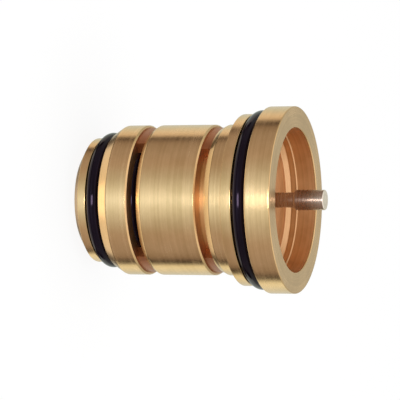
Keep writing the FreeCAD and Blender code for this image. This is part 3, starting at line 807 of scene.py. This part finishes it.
# %% World
WORLD_LIGHT = 0.5
scene.world = bpy.data.worlds.new("studio")
tree = empty_tree(scene.world)
dim = add_node(tree, "ShaderNodeBackground", None,
               {"Color": paint("ffffff"), "Strength": WORLD_LIGHT})
bright = add_node(tree, "ShaderNodeBackground", None, {"Color": paint("ffffff"), "Strength": 1.0})
mixed = add_node(tree, "ShaderNodeMixShader", None,
                 {"Fac": seen_directly(tree), 1: dim.outputs["Background"],
                  2: bright.outputs["Background"]})
add_node(tree, "ShaderNodeOutputWorld", None, {"Surface": mixed.outputs["Shader"]})
scene.view_settings.view_transform = "Standard"
print("the world gives", WORLD_LIGHT, "of its white as light")

# %% [markdown]
# Metal shows its surroundings, so a photographer builds a tent of white and grey cards round
# it. Here one large shell stands for that tent, and only reflections see it. Its lower part
# is bright in front, browner at the sides and pale behind, with a dark gap between two cards,
# which draws the thin dark line near each edge of the lands. The card under the back end is
# white, with a lamp in its middle that draws the line on the O-rings, and a dark border. The
# upper part is a plain grey with a brighter top. Each card has its place, as a share of the half
# turn from the front to behind, and its light in red, green and blue.

# %% Tent colours
TENT_RADIUS = 4.0
TENT_SEGMENTS = 48
TENT_STRENGTH = 1.8
CARDS = [
    (0.085, (0.65, 0.74, 0.78)), (0.19, (0.46, 0.48, 0.48)), (0.31, (0.38, 0.33, 0.31)),
    (0.42, (0.35, 0.31, 0.30)), (0.52, (0.30, 0.26, 0.24)), (0.575, (0.25, 0.2, 0.18)),
]
FRONT_CARD = (0.83, 1.0, 1.15)
GAP = (0.02, 0.01, 0.01)
UPPER_SIDE = [(0.58, GAP), (0.634, GAP), (0.648, (0.78, 0.68, 0.57)), (0.8, (0.52, 0.57, 0.50))]
LOWER_SIDE = [(0.577, GAP), (0.646, GAP), (0.66, (0.92, 0.96, 0.80)), (0.8, (0.56, 0.60, 0.53))]
BEHIND = (0.45, 0.48, 0.45)
UPPER_GREY = (0.35, 0.36, 0.32)
TOP_WHITE = (0.72, 0.68, 0.66)
UNDER_LAMP = (1.3, 1.2, 1.0)
UNDER_WHITE = (0.64, 0.6, 0.52)
UNDER_BORDER = (0.06, 0.05, 0.04)
LOWER_LEVEL = 0.9
BANDS = [(-0.98, -0.965), (-0.74, -0.67), (-0.57, -0.5), (-0.08, 0.08), (0.5, 0.75)]
print("cards in front of the tent:", 2 * len(CARDS) + 1)

# %% [markdown]
# The shell is a ball far outside the part. No camera ray, no scattered light and no shadow
# knows of it, and the floor is left out of reflections, so that its lower half shows in them.

# %% Tent shell
work = bmesh.new()
bmesh.ops.create_uvsphere(work, u_segments=TENT_SEGMENTS, v_segments=TENT_SEGMENTS // 2,
                          radius=TENT_RADIUS)
shell = bpy.data.meshes.new("tent")
work.to_mesh(shell)
work.free()
tent = bpy.data.objects.new("tent", shell)
scene.collection.objects.link(tent)
tent.visible_camera = False
tent.visible_diffuse = False
tent.visible_shadow = False
tent.visible_transmission = False
floor.visible_glossy = False
print("the shell has", len(shell.polygons), "faces")

# %% [markdown]
# A colour ramp that runs once round the tent, from behind past one side, the front and the
# other side, holds the cards. Then the bands are laid over each other from the bottom up: the
# lamp, the white card, its border, the ramp, the grey and the top. The height on the tent goes
# from -1 to 1, and a band gives way to the next one between its two heights. The colours of a
# Mix node are its inputs 6 and 7 and its output 2.

# %% Tent cards
tree = empty_tree(bpy.data.materials.new("tent of cards"))
place = add_node(tree, "ShaderNodeTexCoord")
parts = add_node(tree, "ShaderNodeSeparateXYZ", None, {"Vector": place.outputs["Object"]})
ahead = add_node(tree, MATH, {"operation": "MULTIPLY"}, [parts.outputs["Y"], -1.0])
half_turn = add_node(tree, MATH, {"operation": "ARCTAN2"}, [parts.outputs["X"], ahead])
across = add_node(tree, MATH, {"operation": "MULTIPLY_ADD"},
                  [half_turn, 1 / (2 * math.pi), 0.5])
shade = add_node(tree, "ShaderNodeValToRGB", None, {"Fac": across})
upper = [(0.5 - stop / 2, colour) for stop, colour in CARDS + UPPER_SIDE]
lower = [(0.5 + stop / 2, colour) for stop, colour in CARDS + LOWER_SIDE]
stops = [(0.0, BEHIND)] + upper[::-1] + [(0.5, FRONT_CARD)] + lower + [(1.0, BEHIND)]
ramp = shade.color_ramp
for position, colour in stops[1:-1]:
    ramp.elements.new(position)
for element, (position, colour) in zip(ramp.elements, stops):
    element.position = position
    element.color = (*colour, 1.0)
print("the ramp round the tent has", len(ramp.elements), "stops")
level = add_node(tree, MATH, {"operation": "DIVIDE"}, [parts.outputs["Z"], TENT_RADIUS])
cards = add_node(tree, "ShaderNodeVectorMath", {"operation": "SCALE"},
                 {0: shade.outputs["Color"], "Scale": LOWER_LEVEL}).outputs["Vector"]
whole = (*UNDER_LAMP, 1.0)
upward = [(*UNDER_WHITE, 1.0), (*UNDER_BORDER, 1.0), cards, (*UPPER_GREY, 1.0), (*TOP_WHITE, 1.0)]
for (low, high), above in zip(BANDS, upward):
    reached = add_node(tree, "ShaderNodeMapRange", {"interpolation_type": "SMOOTHSTEP"},
                       {"Value": level, "From Min": low, "From Max": high})
    whole = add_node(tree, "ShaderNodeMix", {"data_type": "RGBA"},
                     {0: reached, 6: whole, 7: above}).outputs[2]
glow = add_node(tree, "ShaderNodeEmission", None, {"Color": whole, "Strength": TENT_STRENGTH})
add_node(tree, "ShaderNodeOutputMaterial", None, {"Surface": glow.outputs["Emission"]})
shell.materials.append(bpy.data.materials["tent of cards"])

# %% [markdown]
# Two soft lamps light what scatters light: a large one overhead, which also makes the shadow
# and isn't seen in the metal, and a small one in front for the streak on the pin. The table
# gives the place and the size in metres, the power in watts, and whether metal mirrors it.

# %% Lamps
LAMPS = {
    "overhead": ((0.1, 0.05, 0.9), (0.7, 0.7), 6.0, False),
    "front": ((0.0, -0.9, 0.08), (0.24, 0.45), 5.0, True),
}
for name, (place, size, power, mirrored) in LAMPS.items():
    light = bpy.data.lights.new(name, "AREA")
    light.shape = "RECTANGLE"
    light.size, light.size_y = size
    light.energy = power
    lamp = bpy.data.objects.new(name, light)
    toward = (Vector((0, 0, AIM_HEIGHT)) - Vector(place)).to_track_quat("-Z", "Y")
    lamp.matrix_world = Matrix.Translation(place) @ toward.to_matrix().to_4x4()
    lamp.visible_glossy = mirrored
    scene.collection.objects.link(lamp)
print("lamps:", ", ".join(LAMPS))
